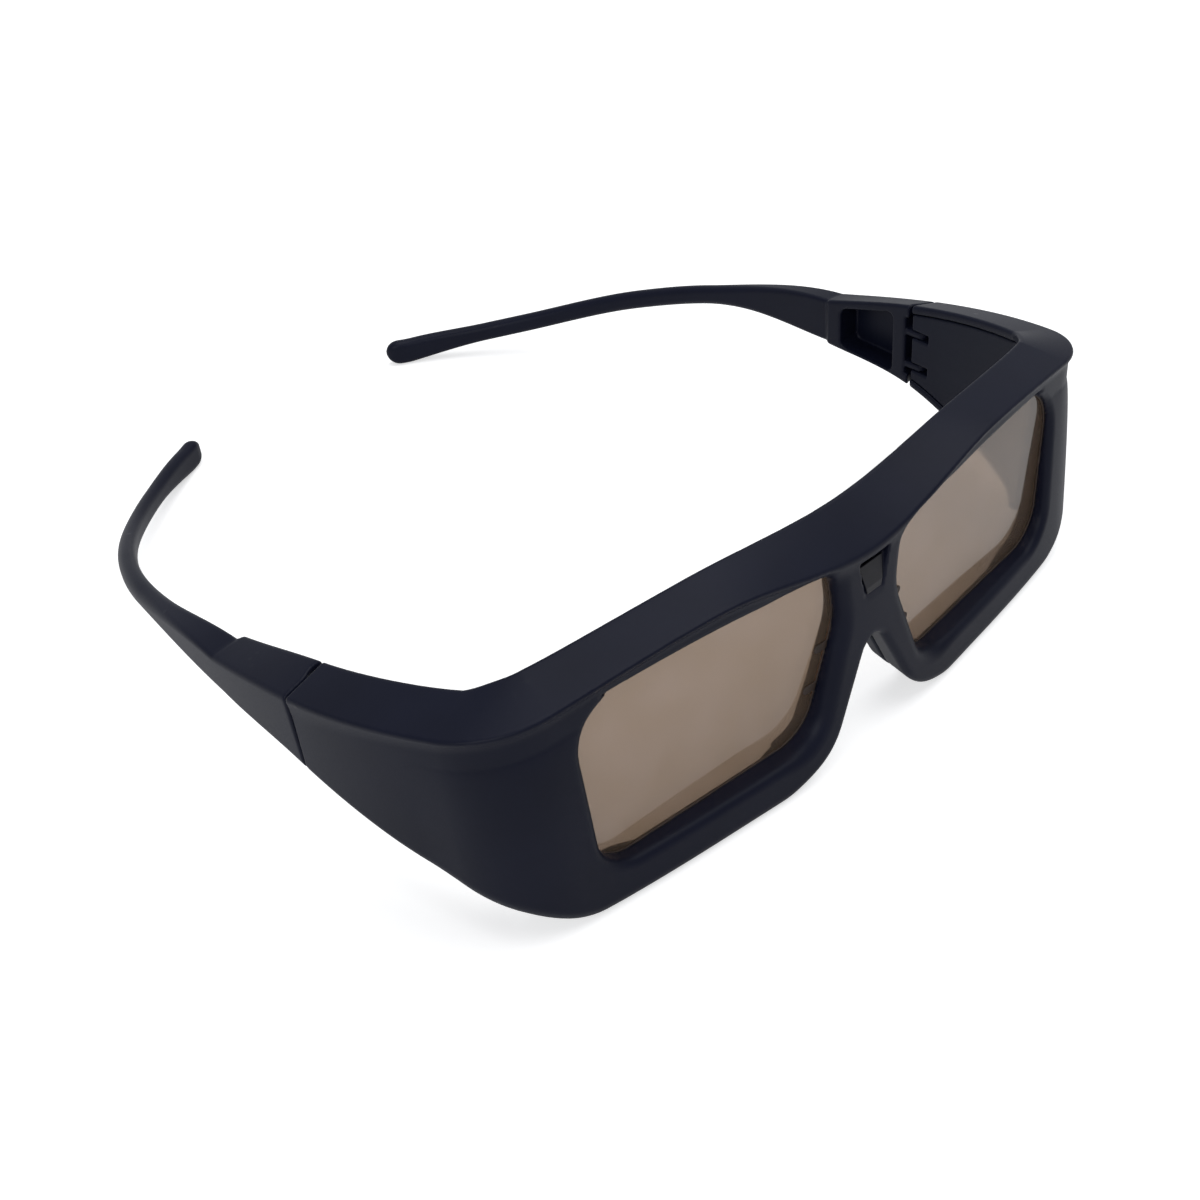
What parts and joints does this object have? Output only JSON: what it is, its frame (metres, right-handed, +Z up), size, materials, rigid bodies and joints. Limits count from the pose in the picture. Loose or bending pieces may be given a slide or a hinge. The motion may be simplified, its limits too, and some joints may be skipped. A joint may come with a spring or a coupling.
{
  "type": "3d glasses",
  "caption": "Active shutter 3d glasses: wrap-round plastic front with flat tinted shutters, bridge sensor, nose pad and folding temples.",
  "frame": {"origin": "bottom centre of the open glasses, on the surface they rest on", "axes": "+X to the wearer's left, +Y back along the temples, +Z up; the lenses face -Y"},
  "size_m": [0.161, 0.1762, 0.0472],
  "materials": {
    "shell": "satin navy black with a fine grain",
    "cover": "matt black",
    "shutter": "polished, beige tint",
    "seal": "matt",
    "pad": "soft satin",
    "flex": "thin film",
    "window": "smooth dark",
    "steel": "plain",
    "board": "solder mask"
  },
  "bodies": {
    "front": {"front_frame": "shell", "rear_cover": "cover", "left_lens": "shutter", "right_lens": "shutter", "left_lens_seal": "seal", "right_lens_seal": "seal", "left_lens_tail": "flex", "right_lens_tail": "flex", "ir_window": "window", "ir_receiver": "window", "nose_pad": "pad", "cover_screws": "steel", "left_wing_cover": "cover", "right_wing_cover": "cover", "left_hinge_pin": "steel", "right_hinge_pin": "steel", "driver_board": "board", "brow_flex": "flex", "battery": "steel", "battery_spring": "steel", "battery_clip": "steel", "battery_door": "cover", "battery_door_screw": "steel"},
    "left_arm": {"left_temple": "shell"},
    "right_arm": {"right_temple": "shell"}
  },
  "joints": [
    {"name": "left_fold", "type": "hinge", "parent": "front", "child": "left_arm", "pos_m": [0.07389, -0.04105, 0.0266], "axis": [0, 0, 1], "range_deg": [0, 82]},
    {"name": "right_fold", "type": "hinge", "parent": "front", "child": "right_arm", "pos_m": [-0.07389, -0.04105, 0.0266], "axis": [0, 0, -1], "range_deg": [0, 72]}
  ]
}
